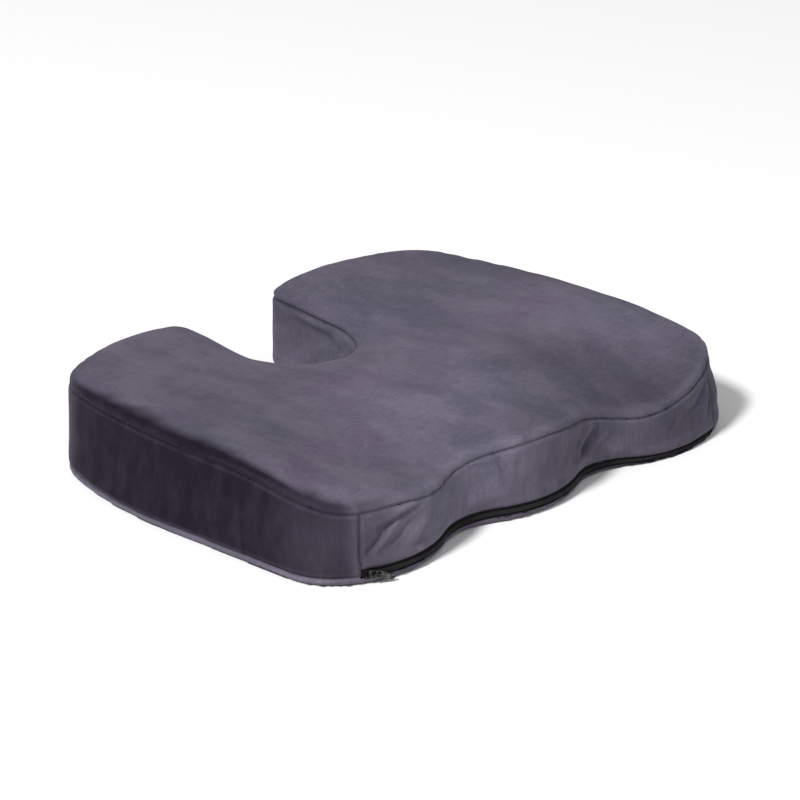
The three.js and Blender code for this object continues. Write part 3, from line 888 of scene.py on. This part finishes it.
def makeCoil(name, side, shift):
    z = zipParts
    path = makePath("chainPath", z["coilInset"], 0.0015)
    trim(path, z["coilStart"], z["coilEnd"])
    onlySelect(path)
    bpy.ops.object.convert(target="CURVE")
    spline = path.data.splines[0]
    if spline.points[0].co.x > spline.points[-1].co.x:
        bpy.ops.object.mode_set(mode="EDIT")
        bpy.ops.curve.select_all(action="SELECT")
        bpy.ops.curve.switch_direction()
        bpy.ops.object.mode_set(mode="OBJECT")
    length = path.data.splines[0].calc_length()
    bpy.ops.mesh.primitive_torus_add(
        major_segments=10, minor_segments=4, major_radius=0.7, minor_radius=0.3)
    coil = bpy.context.object
    coil.name = name
    bpy.ops.transform.resize(value=(z["loopWidth"] / 2, z["loopDepth"] / 2, z["loopLength"] / 0.6))
    freeze(coil)
    # the ring stands across the chain, with its long way upright
    points = readPoints(coil)[:, [2, 1, 0]]
    points[:, 0] += z["loopLength"] / 2 + shift * z["pitch"]
    points[:, 2] += side * (z["loopWidth"] / 2 - z["coilMesh"])
    writePoints(coil, points)
    count = int((length - z["pitch"]) / z["pitch"])
    addModifier(coil, "ARRAY", count=count, use_relative_offset=False, use_constant_offset=True,
                constant_offset_displace=(z["pitch"], 0, 0))
    addModifier(coil, "CURVE", object=path, deform_axis="POS_X")
    applyAll(coil)
    bpy.ops.object.mode_set(mode="EDIT")
    bpy.ops.mesh.select_all(action="SELECT")
    bpy.ops.mesh.normals_make_consistent(inside=False)
    bpy.ops.transform.translate(value=(0, 0, cover["zipHeight"]))
    bpy.ops.object.mode_set(mode="OBJECT")
    bpy.data.objects.remove(path)
    hangWithCover(coil)
    bpy.ops.object.shade_smooth()
    return coil


def makeMetal(name, node):
    # the CAD solid's shape with its edges tumbled
    piece = copyOf(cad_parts[node], name)
    piece.hide_render = False
    bpy.ops.object.mode_set(mode="EDIT")
    bpy.ops.mesh.select_all(action="SELECT")
    bpy.ops.mesh.remove_doubles(threshold=0.00001)
    bpy.ops.mesh.dissolve_limited(angle_limit=math.radians(1))
    bpy.ops.object.mode_set(mode="OBJECT")
    addModifier(piece, "BEVEL", width=zipParts["edgeRound"], segments=2, limit_method="ANGLE")
    applyAll(piece)
    bpy.ops.object.shade_smooth_by_angle(angle=math.radians(40))
    return piece


zipMiddle = cover["zipHeight"]
tapeUpper = makeTape("zipTapeUpper", zipMiddle + zipParts["tapeGap"], zipMiddle + zipParts["tapeAbove"])
tapeLower = makeTape("zipTapeLower", zipMiddle - zipParts["tapeBelow"], zipMiddle - zipParts["tapeGap"])
coilUpper = makeCoil("zipCoilUpper", 1, 0)
coilLower = makeCoil("zipCoilLower", -1, 0.5)
metalNodes = {
    "sliderBody": "slider_body",
    "pullTab": "pull_tab",
    "endStop": "end_stop",
    "topStopUpper": "top_stop_upper",
    "topStopLower": "top_stop_lower",
}
metalPieces = {name: makeMetal(name, node) for name, node in metalNodes.items()}
print("zip")


# floor and light

stage = {"size": 12, "height": -0.0002}


def makeStage():
    bpy.ops.mesh.primitive_plane_add(size=stage["size"], location=(0, 0, stage["height"]))
    floor = bpy.context.object
    floor.name = "floor"
    return floor


floor = makeStage()

lightSetup = {
    "world": 0.40,
    "key": {"from": (-4.8, -0.6, 5.2), "size": 1.0, "power": 525},
    "fill": {"from": (1.8, -5.2, 3.8), "size": 4.4, "power": 40},
}


def makeLights():
    bpy.context.scene.view_settings.view_transform = "Standard"
    for name in ("key", "fill"):
        light = lightSetup[name]
        bpy.ops.object.light_add(type="AREA", location=light["from"])
        lamp = bpy.context.object
        lamp.name = name
        lamp.data.size = light["size"]
        lamp.data.energy = light["power"]
        aim = Vector((0, 0, 0.03)) - Vector(light["from"])
        lamp.rotation_euler = aim.to_track_quat("-Z", "Y").to_euler()
    world = bpy.data.worlds.new("studio")
    bpy.context.scene.world = world
    world.use_nodes = True
    background = world.node_tree.nodes["Background"]
    background.inputs["Color"].default_value = (1, 1, 1, 1)
    background.inputs["Strength"].default_value = lightSetup["world"]


makeLights()


# materials

class Wire:
    # a shader socket that takes part in Python sums
    def __init__(self, shader, socket):
        self.shader = shader
        self.socket = socket

    def __add__(self, other):
        return self.shader.sum("ADD", self, other)

    def __radd__(self, other):
        return self.shader.sum("ADD", other, self)

    def __sub__(self, other):
        return self.shader.sum("SUBTRACT", self, other)

    def __rsub__(self, other):
        return self.shader.sum("SUBTRACT", other, self)

    def __mul__(self, other):
        return self.shader.sum("MULTIPLY", self, other)

    def __rmul__(self, other):
        return self.shader.sum("MULTIPLY", other, self)

    def __pow__(self, other):
        return self.shader.sum("POWER", self, other)


class Shader:
    def __init__(self, name):
        self.material = bpy.data.materials.new(name)
        self.material.use_nodes = True
        self.tree = self.material.node_tree
        self.tree.nodes.clear()

    def add(self, kind, settings=None, sockets=None, output=0):
        node = self.tree.nodes.new(kind)
        for name, value in (settings or {}).items():
            setattr(node, name, value)
        for name, value in (sockets or {}).items():
            if isinstance(value, Wire):
                self.tree.links.new(value.socket, node.inputs[name])
            else:
                node.inputs[name].default_value = value
        return Wire(self, node.outputs[output])

    def sum(self, operation, a, b):
        return self.add("ShaderNodeMath", {"operation": operation}, {0: a, 1: b})

    def place(self, scale=(1, 1, 1), turn=(0, 0, 0)):
        where = self.add("ShaderNodeTexCoord", output="Object")
        return self.add("ShaderNodeMapping", None, {"Vector": where, "Scale": scale, "Rotation": turn})

    def noise(self, scale, detail=3, stretch=(1, 1, 1), turn=(0, 0, 0), roughness=0.5):
        return self.add("ShaderNodeTexNoise", None, {
            "Vector": self.place(stretch, turn), "Scale": scale, "Detail": detail, "Roughness": roughness})

    def ramp(self, value, low, high):
        return self.add("ShaderNodeMapRange", {"interpolation_type": "SMOOTHSTEP"}, {
            "Value": value, "From Min": low, "From Max": high})

    def blend(self, share, first, second):
        return self.add("ShaderNodeMix", {"data_type": "RGBA"}, {0: share, 6: first, 7: second}, output=2)

    def scaled(self, colour, factor):
        return self.add("ShaderNodeVectorMath", {"operation": "SCALE"}, {0: colour, "Scale": factor})

    def bump(self, height, distance, strength=1.0, under=None):
        sockets = {"Height": height, "Distance": distance, "Strength": strength}
        if under:
            sockets["Normal"] = under
        return self.add("ShaderNodeBump", None, sockets)

    def finish(self, sockets):
        surface = self.add("ShaderNodeBsdfPrincipled", None, sockets)
        end = self.tree.nodes.new("ShaderNodeOutputMaterial")
        self.tree.links.new(surface.socket, end.inputs["Surface"])
        return self.material


def grey(value):
    return (value, value, value, 1)


def tone(colour, factor):
    return (colour[0] * factor, colour[1] * factor, colour[2] * factor, 1)


velourLook = {
    # the two colours that the patches mix, and the tips of the fibres
    "lilac": (0.102, 0.083, 0.121),
    "slate": (0.078, 0.082, 0.110),
    "lightPile": (0.156, 0.139, 0.184),
    "pile": 0.00022,
    "shade": (0.0105, 0.0070, 0.0140),   # the darkest colour, where the per-point level is 0: the pile's depths between the fibres, and the colour the painted shade reaches
    "highNap": 2.0,
    "mottle": 0.11,         # unevenness of the nap
    "gripDots": 700,        # the dots' spacing is 2 pi over this
}


def velourMaterial(name, alongWall, gripDots=False):
    # pile fabric: brushed patches, streaks along the nap, and a fine fuzzy pile
    v = velourLook
    shader = Shader(name)
    patches = shader.ramp(shader.noise(9, 4, (1, 1.4, 1), (0, 0, 0.6)), 0.35, 0.68)
    brushed = shader.ramp(shader.noise(30, 5, (1, 0.5, 1), (0, 0, -0.5), 0.6), 0.3, 0.7)
    stretch = (1, 1, 0.10) if alongWall else (0.30, 1, 1)
    streaks = shader.noise(420, 3, stretch, (0, 0, 0 if alongWall else 0.35))
    fuzz = shader.noise(1100, 2)
    colour = shader.blend(patches, tone(v["lilac"], 1), tone(v["slate"], 1))
    light = brushed * 0.20 + streaks * 0.25 + fuzz * 0.40
    colour = shader.blend(shader.ramp(light, 0.22, 0.66), colour, tone(v["lightPile"], 1))
    # the per-point level: the pile's lie together with painted light and shade
    napAndShading = shader.add("ShaderNodeAttribute", {"attribute_name": "napAndShading"}, output=2)
    mottle = shader.noise(75, 4, (1, 1, 0.5 if alongWall else 1), roughness=0.65)
    share = napAndShading * (1 / v["highNap"]) + (mottle - 0.5) * v["mottle"]
    colour = shader.blend(share, tone(v["shade"], 1), shader.scaled(colour, v["highNap"]))
    pile = fuzz * 0.6 + streaks * 0.4
    softer = shader.bump(brushed, 0.0005, 0.4)
    rough = 0.95 - streaks * 0.2
    if gripDots:
        # non-slip cloth on the flat underside: dark knit with raised rubber dots
        where = shader.place()
        x, y, z = [shader.add("ShaderNodeSeparateXYZ", None, {"Vector": where}, output=i) for i in range(3)]
        waves = shader.sum("SINE", x * v["gripDots"], 0) * shader.sum("SINE", y * v["gripDots"], 0)
        flat = 1 - shader.ramp(z, 0.0007, 0.0011)
        dots = shader.ramp(waves ** 2, 0.42, 0.58) * flat
        knit = shader.blend(fuzz, (0.016, 0.016, 0.018, 1), (0.045, 0.044, 0.050, 1))
        colour = shader.blend(flat, colour, shader.blend(dots, knit, (0.008, 0.008, 0.009, 1)))
        rough = rough - dots * 0.4
        softer = shader.bump(dots, 0.0006, 1.0, softer)
    return shader.finish({
        "Base Color": colour,
        "Roughness": rough,
        "Sheen Weight": 0.12,
        "Sheen Roughness": 0.35,
        "Sheen Tint": (0.78, 0.70, 0.90, 1),
        "Specular IOR Level": 0.06,
        "Normal": shader.bump(pile, v["pile"], 1.0, softer),
    })


def foamMaterial():
    shader = Shader("memoryFoam")
    cells = shader.add("ShaderNodeTexVoronoi", None, {"Vector": shader.place(), "Scale": 900})
    blotch = shader.noise(20, 4)
    colour = shader.blend(blotch, (0.80, 0.74, 0.60, 1), (0.88, 0.84, 0.72, 1))
    return shader.finish({"Base Color": colour, "Roughness": 0.9, "Normal": shader.bump(cells, 0.0003)})


def tapeMaterial():
    # narrow woven tape, ribbed along its length
    shader = Shader("zipTape")
    ribs = shader.add("ShaderNodeTexWave", {"wave_type": "BANDS", "bands_direction": "Z"}, {
        "Vector": shader.place(), "Scale": 900, "Distortion": 0.6})
    threads = shader.noise(2600, 1)
    colour = shader.blend(threads, (0.003, 0.003, 0.0035, 1), (0.010, 0.010, 0.011, 1))
    return shader.finish({"Base Color": colour, "Roughness": 0.85, "Specular IOR Level": 0.2,
                          "Normal": shader.bump(ribs * 0.6 + threads * 0.4, 0.00012)})


def coilMaterial():
    shader = Shader("zipCoil")
    wear = shader.noise(400, 3)
    colour = shader.blend(wear, (0.006, 0.006, 0.0065, 1), (0.020, 0.020, 0.021, 1))
    return shader.finish({"Base Color": colour, "Roughness": 0.40 + wear * 0.18,
                          "Normal": shader.bump(wear, 0.00005)})


def metalMaterial(name, brightness):
    shader = Shader(name)
    wear = shader.ramp(shader.noise(420, 4), 0.45, 0.75)
    dull, worn = tone((0.022, 0.021, 0.022), brightness), tone((0.085, 0.082, 0.080), brightness)
    colour = shader.blend(wear, dull, worn)
    return shader.finish({"Base Color": colour, "Metallic": 0.85, "Roughness": 0.38 - wear * 0.10,
                          "Normal": shader.bump(shader.noise(500, 2), 0.00002)})


def floorMaterial():
    shader = Shader("floorPaper")
    return shader.finish({"Base Color": grey(0.94), "Roughness": 0.9})


def putOn(obj, material):
    obj.data.materials.clear()
    obj.data.materials.append(material)


velourSeat = velourMaterial("velourSeat", False)
velourWall = velourMaterial("velourWall", True)
putOn(panels["topPanel"], velourSeat)
putOn(panels["frontBand"], velourWall)
putOn(panels["sideBandLeft"], velourWall)
putOn(panels["sideBandRight"], velourWall)
putOn(panels["bottomPanel"], velourMaterial("velourUnderside", True, gripDots=True))
putOn(foamCore, foamMaterial())
for tape in (tapeUpper, tapeLower):
    putOn(tape, tapeMaterial())
for coil in (coilUpper, coilLower):
    putOn(coil, coilMaterial())
zipMetal = metalMaterial("zipMetal", 1)
pullMetal = metalMaterial("pullMetal", 2.2)
for name, piece in metalPieces.items():
    putOn(piece, pullMetal if name == "pullTab" else zipMetal)
putOn(floor, floorMaterial())
print("materials")


# riding

standsFor = {
    "topPanel": "top_panel",
    "frontBand": "front_band",
    "sideBandLeft": "side_band_left",
    "sideBandRight": "side_band_right",
    "bottomPanel": "bottom_panel",
}
for name, node in standsFor.items():
    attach(panels[name], "cushion")
    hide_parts(node)
for piece, node in ((tapeUpper, "zip_tape_upper"), (tapeLower, "zip_tape_lower"),
                    (coilUpper, "zip_coil_upper"), (coilLower, "zip_coil_lower")):
    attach(piece, "cushion")
    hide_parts(node)
bodyOf = {"sliderBody": "slider", "pullTab": "pull"}
for name, piece in metalPieces.items():
    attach(piece, bodyOf.get(name, "cushion"))
    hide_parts(metalNodes[name])
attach(foamCore, "cushion")
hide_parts("foam_core")
